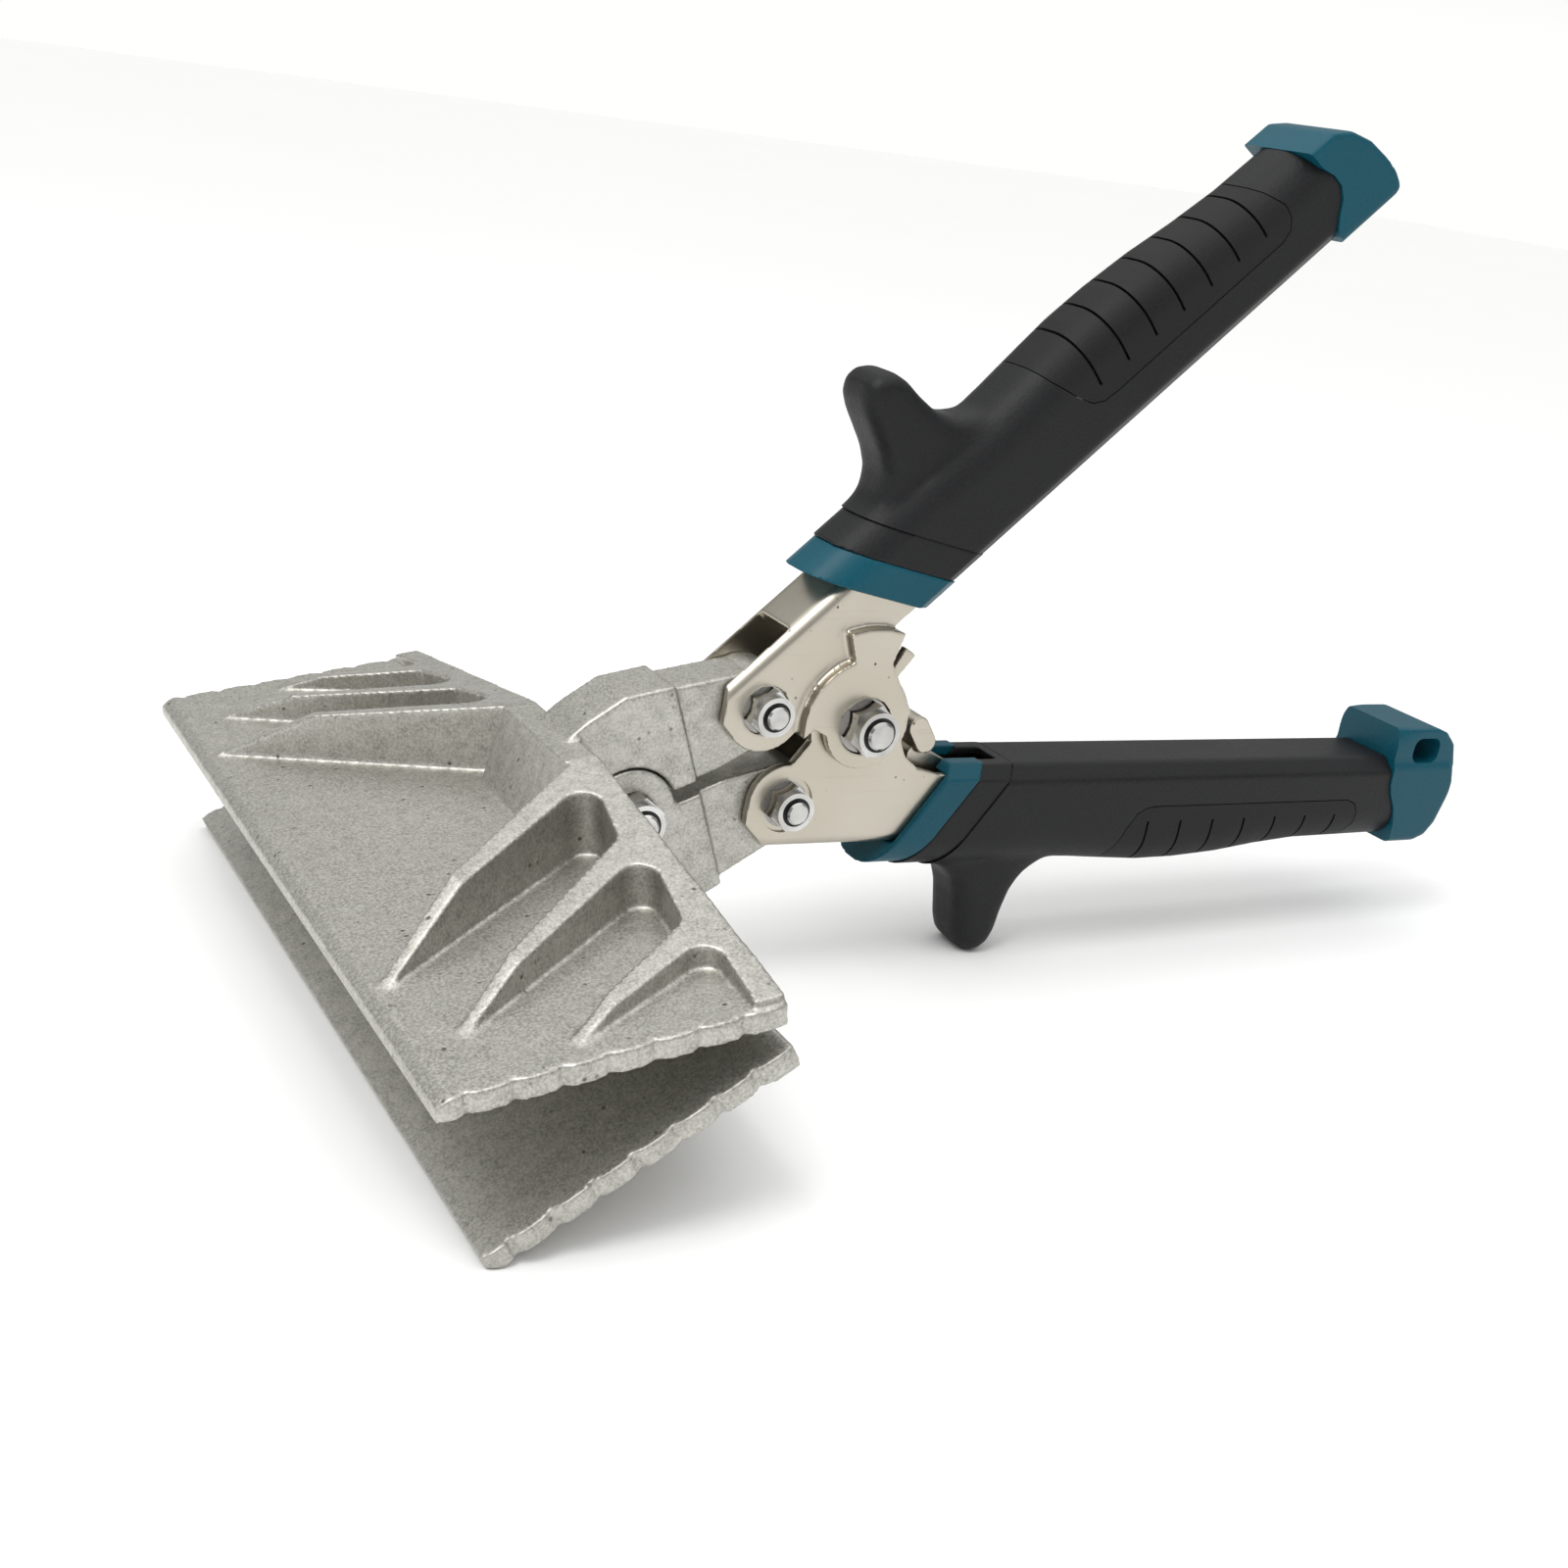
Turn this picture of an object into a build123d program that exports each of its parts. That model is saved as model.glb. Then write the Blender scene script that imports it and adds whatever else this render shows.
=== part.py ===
from build123d import *
import os
from math import asin, atan2, cos, degrees, hypot, radians, sin, sqrt

# Six-inch hand seamer: two wide cast jaws closed through a four-bar linkage by two handles.
# Millimetres. The pieces are made in the tool's own frame: jaw pivot at the origin, X from the
# jaws to the handles, Y along the bolts with the nuts on -Y, Z up through the open mouth.
# At the end the whole tool is turned to stand on its lower jaw and its lower finger guard.

# linkage, tool open
pivot_distance = 43.1          # jaw pivot to handle pivot
jaw_arm = 28.2                 # jaw pivot to the pin at a jaw's tail
handle_arm = 18.7              # handle pivot to the same pin
mouth_half_angle = 11.0        # each jaw above or below the closed line
handle_half_angle = 22.0       # each handle above or below the tool's axis
running = 0.05                 # radial clearance of a turning fit
linkage_clearance = 0.45       # radial clearance of the one linkage joint that is left open

# jaws
jaw_width = 152.4
jaw_depth = 48.6               # along the side edges
jaw_reach = 57.0               # jaw pivot to the front edge
plate_thick = 3.2
mark_pitch = 6.35              # depth marks, a quarter of an inch
mark_count = 7
mark_radius = 0.45
scallop_bow = 0.45             # bulge of the side edge between two marks
front_bevel_run = 2.0
front_bevel_drop = 1.0
rim_thick = 4.6
rim_sweep = 0.4                # how much farther back the rim is at the neck than at the sides
rim_height = 15.2              # above the grip face, at the neck
rim_end_height = 4.2           # above the grip face, at the sides
hub_half_width = 13.0          # the thick middle of the rim
hub_base_depth = 18.5          # jaw pivot to the foot of its sloping front
hub_top_depth = 13.5
rib_head = 4.6                 # rib thickness at the rim
rib_tip = 1.8
pocket_corner = 3.0            # rounding where a rib meets the rim
neck_half = 6.0                # half of the neck's thickness, along the bolts
tail_half = 4.8
neck_top = 20.2
step_x = 12.6                  # where the neck steps down to the tail
ear_radius = 8.0
ear_gap = 0.3
seat_radius = 5.4              # room round the bolt's head and nut
seat_depth = 8.4
lap_gap = 0.05
tail_gap = 1.2                 # tail to the tool's axis
tail_lug = 6.6
mouth_gap = 0.05               # grip face to the closed line

# sheet-steel handle channels
sheet = 1.8
cheek_in = 5.0                 # inner face of a cheek, from the middle plane
web_v = 22.5                   # outer face of the web, from the handle's axis
web_start = -0.5
web_nose = 4.5                 # slope of the cheeks' outline ahead of the web
bend_radius = 2.2              # outside of the two long folds
channel_inner_v = 9.8
tang_end = 104.0
lug_radius = 7.2
joggle_gap = 0.15              # between the two handles' cheeks where they lap
joggle_wall = 1.7
joggle_foot_v = 6.5            # where the pressed-out part ends on the jaws' side
disc_radius = 9.6              # the lower handle's cheek round the handle pivot
disc_gap = 0.6
cover_disc = 7.6               # the upper handle's free disc round the pivot
stop_radius = 14.8
stop_from = 54.0               # the stop finger, degrees from the lower handle's axis
stop_to = 64.0
stop_pocket_end = 60.5         # end wall of its pocket, degrees from the upper handle's axis
stop_gap = 0.5

# fasteners
pin_bush_radius = 4.15
pivot_bush_radius = 4.8
jaw_bush_radius = 3.9
bush_recess = 0.6              # bush end below the cheek's outer face
pin_thread = 4.0
pin_nut = (7.0, 4.2)           # across flats, height
pivot_thread = 5.0
pivot_nut = (8.0, 5.0)
nut_land = 0.9                 # thread standing out of the nut
insert_wall = 0.55
insert_depth = 0.9
head_height = 2.6

# grips, for the upper and the lower handle where they differ
ferrule_front_outer = 6.5      # slanted front of the ferrule, on the outer side
ferrule_front_inner = 20.5
ferrule_long = 7.0
collar_long = 7.0
cover_outer = 5.9              # plastic over the web
cover_inner = 1.6              # plastic over the cheeks' inner edges
grip_wall = 1.7                # plastic beside the cheeks
ferrule_step = 0.1             # ferrule and collar sides below the grip's
collar_step = 0.2
cap_step = 0.4                 # cap sides above the grip's
grip_round = 7.0               # outer corners of the section
grip_chamfer = 2.4             # inner corners
upper_grip_end = 118.5
lower_grip_end = 127.0
upper_cap_long = 15.5
lower_cap_long = 18.0
taper_from = 86.0              # where the grip's outer side starts to fall
end_taper = 2.4
guard_half = 6.0
guard_tip_u = 34.4
guard_rise = 14.2              # centre of the round tip above the grip's outer side
guard_tip_radius = 3.4
guard_root_front = 24.0
guard_root_back = 47.0
pad_from = 58.0
pad_end_gap = 7.0              # pad to the grip's end
pad_depth = 11.9
pad_groove = 0.5
pad_groove_depth = 0.9
pad_ridges = 7
pad_ridge_from = 9.5
pad_ridge_margin = 16.0
lug_rise = 6.5                 # hang lug above the cap's inner side
hang_hole_long = 7.2
hang_hole_high = 5.2
hang_hole_corner = 1.8
hang_hole_wall = 2.0           # above the hole
hang_hole_from_end = 9.5       # cap's end to the hole's centre

# latch and return spring
latch_pin_u = 24.5
latch_pin_v = 12.6
latch_pin_radius = 1.25
latch_half = 2.6
latch_bar_half = 4.5
latch_bar_u = 14.8
latch_bar_v = 3.2
latch_bar_long = 7.4
latch_bar_thick = 4.0
latch_slot = 0.5               # clearance of the lever in the ferrule's slot
latch_slot_end = 33.5
latch_eye_wall = 1.4
latch_bar_turn = 55.0          # long side of the thumb bar's section, degrees from the handle's axis
spring_wire = 1.4
spring_gap = 0.35
spring_half = 3.2
leg_slope = 1.7                # run of a leg for each unit of its rise
leg_foot_long = 3.0            # the leg's end, flat on the web

UPPER = 1
LOWER = -1

# pin positions: the linkage is a kite, so the two triangles share their height
arm_foot = (pivot_distance**2 + jaw_arm**2 - handle_arm**2) / (2 * pivot_distance)
pin_height = sqrt(jaw_arm**2 - arm_foot**2)
cheek_out = cheek_in + sheet
joggle_radius = disc_radius + disc_gap + joggle_wall
grip_inner_v = channel_inner_v - cover_inner
grip_outer_v = web_v + cover_outer
grip_half = cheek_out + grip_wall
grip_end_v = grip_outer_v - end_taper
guard_tip_v = grip_outer_v + guard_rise
far = jaw_width                # long enough to cut through anything


def handle_side(side, y=0.0):
    """Side view of a handle: X along it from the handle pivot, Y away from the other handle."""
    lean = radians(handle_half_angle)
    along = (cos(lean), 0, side * sin(lean))
    return Plane(origin=(pivot_distance, y, 0), x_dir=along, z_dir=(0, -side, 0))


def handle_section(side, u):
    """Cross-section of a handle at u: X outward, Y along the bolts."""
    lean = radians(handle_half_angle)
    along = (cos(lean), 0, side * sin(lean))
    outward = (-sin(lean), 0, side * cos(lean))
    origin = (pivot_distance + u * along[0], 0, u * along[2])
    return Plane(origin=origin, x_dir=outward, z_dir=along)


def tool_side(side, y=0.0):
    """Side view of the tool: X to the handles, Y away from the other jaw."""
    return Plane(origin=(0, y, 0), x_dir=(1, 0, 0), z_dir=(0, -side, 0))


def jaw_side(side):
    """Side view of a jaw: X along its plate to the handles, Y out from its grip face."""
    tilt = radians(mouth_half_angle)
    along = (cos(tilt), 0, -side * sin(tilt))
    return Plane(origin=(0, 0, 0), x_dir=along, z_dir=(0, -side, 0))


def jaw_face(side, n):
    """Plan view of a jaw at n above its pivot line: X to the handles."""
    tilt = radians(mouth_half_angle)
    along = (cos(tilt), 0, -side * sin(tilt))
    out = (sin(tilt), 0, side * cos(tilt))
    return Plane(origin=(n * out[0], 0, n * out[2]), x_dir=along, z_dir=out)


def to_handle(x, z):
    """A point of the tool's side view, in the side view of its handle."""
    lean = radians(handle_half_angle)
    dx = x - pivot_distance
    return (dx * cos(lean) + z * sin(lean), -dx * sin(lean) + z * cos(lean))


pin_u, pin_v = to_handle(arm_foot, pin_height)


def slab(plane, points, half, mode=Mode.ADD):
    """Adds a side-view outline, as thick as half on both sides of the middle plane."""
    with BuildSketch(plane) as outline:
        with BuildLine():
            Polyline(*points, close=True)
        make_face()
    extrude(outline.sketch, amount=half, both=True, mode=mode)


def cross_hole(plane, place, radius):
    """Drills right through along the bolts."""
    with BuildSketch(plane) as circle:
        with Locations(place):
            Circle(radius)
    extrude(circle.sketch, amount=far / 2, both=True, mode=Mode.SUBTRACT)


def wedge(radius, start, end):
    """Outline of a slice of a disc, with its point at the pivot."""
    reach = 2 * radius
    steps = [radians(start + (end - start) * i / 4) for i in range(5)]
    return [(0, 0)] + [(reach * cos(a), reach * sin(a)) for a in steps]


# ---------------------------------------------------------------- jaws
side_y = jaw_width / 2
back_side = jaw_depth - jaw_reach            # where the rim meets the side edges
back_neck = back_side + rim_sweep
marks = [-jaw_reach + mark_pitch * (i + 0.65) for i in range(mark_count)]


def jaw_plate(side):
    """The plate, with a bulge between each two depth marks along both sides."""
    stations = [-jaw_reach] + marks + [back_side]
    inset = side_y - scallop_bow
    with BuildSketch(jaw_face(side, mouth_gap)) as plan:
        with BuildLine():
            for y in (-1, 1):
                for a, b in zip(stations, stations[1:]):
                    middle = ((a + b) / 2, y * side_y)
                    ThreePointArc((a, y * inset), middle, (b, y * inset))
                Line((back_side, y * inset), (back_neck, y * hub_half_width))
            Line((-jaw_reach, -inset), (-jaw_reach, inset))
            Line((back_neck, -hub_half_width), (back_neck, hub_half_width))
        make_face()
    extrude(plan.sketch, amount=plate_thick)


def rim_top(y):
    """Height of the rim above the grip face."""
    slope = (rim_height - rim_end_height) / (side_y - hub_half_width)
    return rim_height - slope * (abs(y) - hub_half_width)


# tip of each rib in plan, where it meets the rim, and how far along it its crest stops rising steeply
ribs = (
    ((-54.0, 46.0), 16.0, 0.36),
    ((-49.0, 62.5), 36.0, 0.30),
    ((-37.0, 71.5), 57.5, 0.30),
)


def rim_front(y):
    """Where the rim's front face is, in plan."""
    return back_neck - rim_thick - rim_sweep * (y - hub_half_width) / (side_y - hub_half_width)


def rib_sides(tip, head_y):
    """The four corners of a rib in plan, from its outer head round its tip to its inner head."""
    head = (rim_front(head_y), head_y)
    length = hypot(head[0] - tip[0], head[1] - tip[1])
    across = ((tip[1] - head[1]) / length, (head[0] - tip[0]) / length)
    corners = []
    for end, half in ((head, rib_head / 2), (tip, rib_tip / 2), (tip, -rib_tip / 2), (head, -rib_head / 2)):
        corners.append((end[0] + across[0] * half, end[1] + across[1] * half))
    return corners


def rim_and_ribs(side, hand):
    """Half of the raised comb on a jaw's back: the rim, with its ribs as teeth."""
    rim_end = side_y - 1
    points = [
        (back_neck, hub_half_width),
        (rim_front(rim_end) + rim_thick, rim_end),
        (rim_front(rim_end), rim_end),
    ]
    roots = []
    for tip, head_y, _ in reversed(ribs):
        corners = rib_sides(tip, head_y)
        points += corners
        roots += [corners[0], corners[3]]
    points.append((rim_front(hub_half_width), hub_half_width))
    with BuildSketch(jaw_face(side, mouth_gap)) as comb:
        with BuildLine():
            Polyline(*[(x, hand * y) for x, y in points], close=True)
        make_face()
        inner = [v for v in comb.vertices() if any(hypot(v.X - x, v.Y - hand * y) < 0.01 for x, y in roots[:-1])]
        fillet(inner, pocket_corner)
    extrude(comb.sketch, amount=rim_height)

    # slope of each rib down to its tip
    face = jaw_face(side, 0)
    for tip, head_y, bend in ribs:
        head_x = rim_front(head_y)
        length = hypot(head_x - tip[0], tip[1] - head_y)
        start = face.from_local_coords((tip[0], hand * tip[1], 0))
        end = face.from_local_coords((head_x, hand * head_y, 0))
        line = Plane(origin=start, x_dir=end - start, z_dir=(end - start).cross(face.z_dir))
        bend_y = tip[1] + bend * (head_y - tip[1])
        above = 2 * rim_height
        slope = [
            (-rib_head, plate_thick),
            (0, plate_thick),
            (bend * length, rim_top(bend_y)),
            (bend * length, above),
            (-rib_head, above),
        ]
        slab(line, slope, rib_head, Mode.SUBTRACT)


def make_jaw(side):
    """The upper or lower casting. Its ear is the far half of the lap, or the near half."""
    pin_hole = pin_bush_radius + (linkage_clearance if side == UPPER else running)
    ear_side = side                          # the upper jaw's ear lies on +Y
    with BuildPart() as jaw:
        jaw_plate(side)

        # rim and ribs, sloping down from the neck to the sides
        for hand in (-1, 1):
            rim_and_ribs(side, hand)
        across = Plane(origin=(0, 0, 0), x_dir=(0, 1, 0), z_dir=jaw_face(side, 0).x_dir)
        out = side * (1 if across.y_dir.Z > 0 else -1)
        for hand in (-1, 1):
            roof = [
                (hand * hub_half_width, out * rim_height),
                (hand * (side_y + 2), out * rim_top(side_y + 2)),
                (hand * (side_y + 2), out * 2 * rim_height),
                (hand * hub_half_width, out * 2 * rim_height),
            ]
            slab(across, roof, far / 2, Mode.SUBTRACT)

        # thick middle of the rim, with a sloping front
        slab(
            jaw_side(side),
            [
                (-hub_base_depth, mouth_gap),
                (-hub_base_depth, plate_thick),
                (-hub_top_depth, rim_height),
                (back_neck, rim_height),
                (back_neck, mouth_gap),
            ],
            hub_half_width,
        )

        # neck and tail
        neck = [
            (-10.0, 3.4),
            (-9.0, 16.4),
            (-3.0, neck_top - 1.6),
            (4.0, neck_top),
            (step_x, neck_top - 1.4),
            (step_x, tail_gap),
            (1.0, tail_gap),
            (-2.0, 1.8),
        ]
        slab(tool_side(side), neck, neck_half)
        tail = [
            (step_x - 1, neck_top - 2.0),
            (arm_foot - 1, pin_height + tail_lug),
            (arm_foot + tail_lug, pin_height),
            (arm_foot, pin_height - tail_lug),
            (step_x + 5, tail_gap),
            (step_x - 1, tail_gap),
        ]
        slab(tool_side(side), tail, tail_half)
        with BuildSketch(tool_side(side)):
            with Locations((arm_foot, pin_height)):
                Circle(tail_lug)
        extrude(amount=tail_half, both=True)

        # lap joint round the jaw pivot: one half is this jaw's ear, the other makes room
        ear_plane = Plane(origin=(0, ear_side * lap_gap, 0), x_dir=(1, 0, 0), z_dir=(0, ear_side, 0))
        room_plane = Plane(origin=(0, ear_side * lap_gap, 0), x_dir=(1, 0, 0), z_dir=(0, -ear_side, 0))
        with BuildSketch(room_plane):
            Circle(ear_radius + ear_gap)
        extrude(amount=neck_half + 4, mode=Mode.SUBTRACT)
        with BuildSketch(ear_plane):
            Circle(ear_radius)
        extrude(amount=neck_half - lap_gap)
        with BuildSketch(ear_plane):
            Circle(jaw_bush_radius + running)
        extrude(amount=far / 2, both=True, mode=Mode.SUBTRACT)
        seat_plane = Plane(origin=(0, ear_side * neck_half, 0), x_dir=(1, 0, 0), z_dir=(0, ear_side, 0))
        with BuildSketch(seat_plane):
            Circle(seat_radius)
        extrude(amount=seat_depth, mode=Mode.SUBTRACT)
        cross_hole(tool_side(side), (arm_foot, pin_height), pin_hole)

        # bevel along the front edge, depth marks down the side edges
        bevel = [
            (-jaw_reach - 1, plate_thick + mouth_gap - 1.5 * front_bevel_drop),
            (-jaw_reach + front_bevel_run, plate_thick + mouth_gap),
            (-jaw_reach + front_bevel_run, plate_thick + 2),
            (-jaw_reach - 1, plate_thick + 2),
        ]
        slab(jaw_side(side), bevel, far, Mode.SUBTRACT)
        with BuildSketch(jaw_face(side, -1)):
            for y in (-side_y + scallop_bow, side_y - scallop_bow):
                with Locations(*[(x, y) for x in marks]):
                    Circle(mark_radius)
        extrude(amount=plate_thick + 4, mode=Mode.SUBTRACT)
    return jaw


# ---------------------------------------------------------------- handle channels
def channel_blank(side):
    """The folded sheet: outline of both cheeks with the web on the outer side, still solid."""
    front = pin_u - lug_radius
    outline = [
        (front, pin_v),
        (front, web_v - web_nose),
        (front + web_nose, web_v),
        (tang_end, web_v),
        (tang_end, channel_inner_v),
        (disc_radius, channel_inner_v),
        (0, disc_radius + disc_gap),
        (pin_u, pin_v - lug_radius),
    ]
    slab(handle_side(side), outline, cheek_out)
    with BuildSketch(handle_side(side)) as lug:
        with Locations((pin_u, pin_v)):
            Circle(lug_radius)
    extrude(lug.sketch, amount=cheek_out, both=True)


def channel_hollow(side):
    """Opens the channel on its inner side and ahead of the web."""
    inner = [(-far, -far), (far, -far), (far, web_v - sheet), (-far, web_v - sheet)]
    slab(handle_side(side), inner, cheek_in, Mode.SUBTRACT)
    ahead = [(-far, 0), (web_start, 0), (web_start, 2 * web_v), (-far, 2 * web_v)]
    slab(handle_side(side), ahead, cheek_in, Mode.SUBTRACT)


def round_folds(channel, side):
    """Rounds the outside of the two long folds between the web and the cheeks."""
    folds = []
    for edge in channel.edges().filter_by(GeomType.LINE):
        place = edge.center()
        u, v = to_handle(place.X, side * place.Z)
        if edge.length > tang_end / 2 and abs(v - web_v) < 0.01 and abs(abs(place.Y) - cheek_out) < 0.01:
            folds.append(edge)
    fillet(folds, bend_radius)


cover_in = cheek_out + joggle_gap
cover_out = cover_in + sheet

joggle_cut = [
    (-2 * joggle_radius, joggle_foot_v),
    (-0.63 * joggle_radius, joggle_foot_v),
    (-0.17 * joggle_radius, -0.67 * joggle_radius),
    (0.67 * joggle_radius, -0.34 * joggle_radius),
    (0.84 * joggle_radius, 0.5 * joggle_radius),
    (2 * joggle_radius, 0.5 * joggle_radius),
    (2 * joggle_radius, -2 * joggle_radius),
    (-2 * joggle_radius, -2 * joggle_radius),
]

with BuildPart() as upper_channel:
    channel_blank(UPPER)
    # the cheek is pressed outward round the handle pivot, to lap over the lower handle's cheek
    with BuildSketch(handle_side(UPPER)) as pressed:
        Circle(joggle_radius)
        with BuildLine():
            Polyline(*joggle_cut, close=True)
        make_face(mode=Mode.SUBTRACT)
        Circle(cover_disc)
        with BuildLine():
            Polyline(*wedge(stop_radius, 30, stop_pocket_end + 6), close=True)
        make_face()
        Circle(stop_radius + stop_gap + joggle_wall, mode=Mode.INTERSECT)
    extrude(pressed.sketch, amount=cover_out, both=True)
    with BuildSketch(handle_side(UPPER)) as pocket:
        Circle(disc_radius + disc_gap)
        with BuildLine():
            Polyline(*wedge(stop_radius, 4, stop_pocket_end), close=True)
        make_face()
        Circle(stop_radius + stop_gap, mode=Mode.INTERSECT)
    extrude(pocket.sketch, amount=cover_in, both=True, mode=Mode.SUBTRACT)
    channel_hollow(UPPER)
    round_folds(upper_channel, UPPER)
    cross_hole(handle_side(UPPER), (0, 0), pivot_bush_radius + running)
    cross_hole(handle_side(UPPER), (pin_u, pin_v), pin_bush_radius)

# the lower cheek runs from the pin's lug round the pivot disc and back under the ferrule
cheek_edge = [
    (pin_u, pin_v - lug_radius),
    (-0.83 * disc_radius, 2),
    (0, 0),
    (0.86 * disc_radius, 2),
    (1.08 * disc_radius, 6.2),
    (1.42 * disc_radius, 8.6),
    (1.93 * disc_radius, channel_inner_v),
    (1.93 * disc_radius, channel_inner_v + 6),
    (pin_u, channel_inner_v + 6),
]

with BuildPart() as lower_channel:
    channel_blank(LOWER)
    with BuildSketch(handle_side(LOWER)) as cheek:
        Circle(disc_radius)
        with BuildLine():
            Polyline(*cheek_edge, close=True)
        make_face()
        with BuildLine():
            Polyline(*wedge(stop_radius, -stop_from, -stop_to), close=True)
        make_face()
    extrude(cheek.sketch, amount=cheek_out, both=True)
    with BuildSketch(handle_side(LOWER)) as beyond:
        Circle(far)
        Circle(stop_radius, mode=Mode.SUBTRACT)
        with BuildLine():
            Polyline((-far, -far), (far, -far), (far, 0), (-far, 0), close=True)
        make_face(mode=Mode.INTERSECT)
    extrude(beyond.sketch, amount=far / 2, both=True, mode=Mode.SUBTRACT)
    channel_hollow(LOWER)
    round_folds(lower_channel, LOWER)
    cross_hole(handle_side(LOWER), (0, 0), pivot_bush_radius)
    cross_hole(handle_side(LOWER), (pin_u, pin_v), pin_bush_radius)
    cross_hole(handle_side(LOWER), (latch_pin_u, latch_pin_v), latch_pin_radius)


# ---------------------------------------------------------------- grips
slant = (ferrule_front_inner - ferrule_front_outer) / (grip_outer_v - grip_inner_v)


def front_u(v):
    """Where the ferrule's slanted front is, at a distance v from the handle's axis."""
    return ferrule_front_inner - slant * (v - grip_inner_v)


def grip_end(side):
    return upper_grip_end if side == UPPER else lower_grip_end


def grip_bar(side, start, end, inner_v, outer_v, half):
    """A bar along the handle, chamfered on its inner side and round on its outer side."""
    with BuildSketch(handle_section(side, start)) as section:
        with Locations(((inner_v + outer_v) / 2, 0)):
            Rectangle(outer_v - inner_v, 2 * half)
        corners = section.vertices().sort_by(Axis.X)
        chamfer(corners[:2], grip_chamfer)
        fillet(section.vertices().sort_by(Axis.X)[-2:], grip_round)
    extrude(section.sketch, amount=end - start)


def slanted_band(side, start, end, inner_v, outer_v, half):
    """A sleeve between two slanted cuts across the handle."""
    low = inner_v - 1
    high = outer_v + 1
    grip_bar(side, -far / 2, far, inner_v, outer_v, half)
    keep = [
        (front_u(low) + start, low),
        (front_u(low) + end, low),
        (front_u(high) + end, high),
        (front_u(high) + start, high),
    ]
    slab(handle_side(side), keep, far / 2, Mode.INTERSECT)


def tang_pocket(side):
    """Room for the channel inside a grip piece, the hollow between its cheeks left open."""
    points = [(-far, channel_inner_v), (tang_end, channel_inner_v), (tang_end, web_v), (-far, web_v)]
    slab(handle_side(side), points, cheek_out, Mode.SUBTRACT)


def latch_slot_cut(side):
    """The lower ferrule and collar are open on their inner side for the latch lever."""
    low = grip_inner_v - 2
    high = channel_inner_v + 1
    points = [(0, low), (latch_slot_end - 2, low), (latch_slot_end, high), (0, high)]
    slab(handle_side(side), points, latch_half + latch_slot, Mode.SUBTRACT)


def make_ferrule(side):
    with BuildPart() as ferrule:
        half = grip_half - ferrule_step
        slanted_band(side, 0, ferrule_long, grip_inner_v - 0.3, grip_outer_v - 0.9, half)
        tang_pocket(side)
        if side == LOWER:
            latch_slot_cut(side)
    return ferrule


def make_collar(side):
    with BuildPart() as collar:
        half = grip_half - collar_step
        slanted_band(side, ferrule_long, ferrule_long + collar_long, grip_inner_v, grip_outer_v - 0.4, half)
        tang_pocket(side)
        if side == LOWER:
            latch_slot_cut(side)
    return collar


def pad_outline(side):
    """Side outline of the soft pad, which reaches past the grip's outer edge."""
    high = grip_outer_v + 4
    floor = grip_outer_v - pad_depth
    pad_to = grip_end(side) - pad_end_gap
    return [
        (pad_from, high),
        (pad_from, grip_outer_v + 1.6),
        (pad_from + 4.2, grip_outer_v - 2.4),
        (pad_from + 7.0, floor + 3.1),
        (pad_from + 10.5, floor),
        (pad_to - 3.0, floor),
        (pad_to, floor + 3.0),
        (pad_to - 1.5, grip_outer_v - 4.4),
        (pad_to - 7.0, high),
    ]


def grip_body(side):
    """Outside of the grip without its guard."""
    end = grip_end(side)
    grip_bar(side, 0, end, grip_inner_v, grip_outer_v, grip_half)
    start = ferrule_long + collar_long
    low = grip_inner_v - 1
    high = grip_outer_v + 1
    keep = [
        (front_u(low) + start, low),
        (end, low),
        (end, grip_end_v),
        ((taper_from + end) / 2, grip_outer_v - end_taper / 2),
        (taper_from, high),
        (front_u(high) + start, high),
    ]
    slab(handle_side(side), keep, far / 2, Mode.INTERSECT)


def finger_guard(side):
    """The horn that stops the hand sliding forward."""
    root_v = grip_outer_v - grip_round - 1
    outline = [
        (front_u(root_v) + ferrule_long + collar_long, root_v),
        (guard_root_front, grip_outer_v),
        (guard_tip_u - guard_tip_radius - 2.6, grip_outer_v + guard_rise / 3),
        (guard_tip_u - guard_tip_radius, guard_tip_v),
        (guard_tip_u, guard_tip_v),
        (guard_tip_u + guard_tip_radius, guard_tip_v),
        (guard_tip_u + guard_tip_radius + 2.0, grip_outer_v + guard_rise / 2),
        (guard_root_back, grip_outer_v),
        (guard_root_back, root_v),
    ]
    slab(handle_side(side), outline, guard_half)
    with BuildSketch(handle_side(side)) as tip:
        with Locations((guard_tip_u, guard_tip_v)):
            Circle(guard_tip_radius)
    extrude(tip.sketch, amount=guard_half, both=True)


def make_grip(side):
    with BuildPart() as grip:
        grip_body(side)
        finger_guard(side)
        slab(handle_side(side), pad_outline(side), far / 2, Mode.SUBTRACT)
        tang_pocket(side)
    return grip


def make_pad(side):
    """Soft pad on the outer side of the grip, crossed by shallow grooves."""
    with BuildPart() as pad:
        grip_body(side)
        slab(handle_side(side), pad_outline(side), far / 2, Mode.INTERSECT)
        tang_pocket(side)
        groove_floor = grip_outer_v - pad_groove_depth
        long = grip_end(side) - pad_end_gap - pad_from
        pitch = (long - pad_ridge_margin) / (pad_ridges - 1)
        for i in range(pad_ridges):
            u = pad_from + pad_ridge_from + pitch * i
            with BuildSketch(handle_section(side, u)) as ring:
                with Locations((groove_floor, 0)):
                    Rectangle(2 * pad_depth, 4 * grip_half)
                with Locations((groove_floor - grip_half, 0)):
                    RectangleRounded(
                        2 * grip_half,
                        2 * (grip_half - pad_groove_depth),
                        grip_round - pad_groove_depth,
                        mode=Mode.SUBTRACT,
                    )
            extrude(ring.sketch, amount=pad_groove, mode=Mode.SUBTRACT)
    return pad


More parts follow.
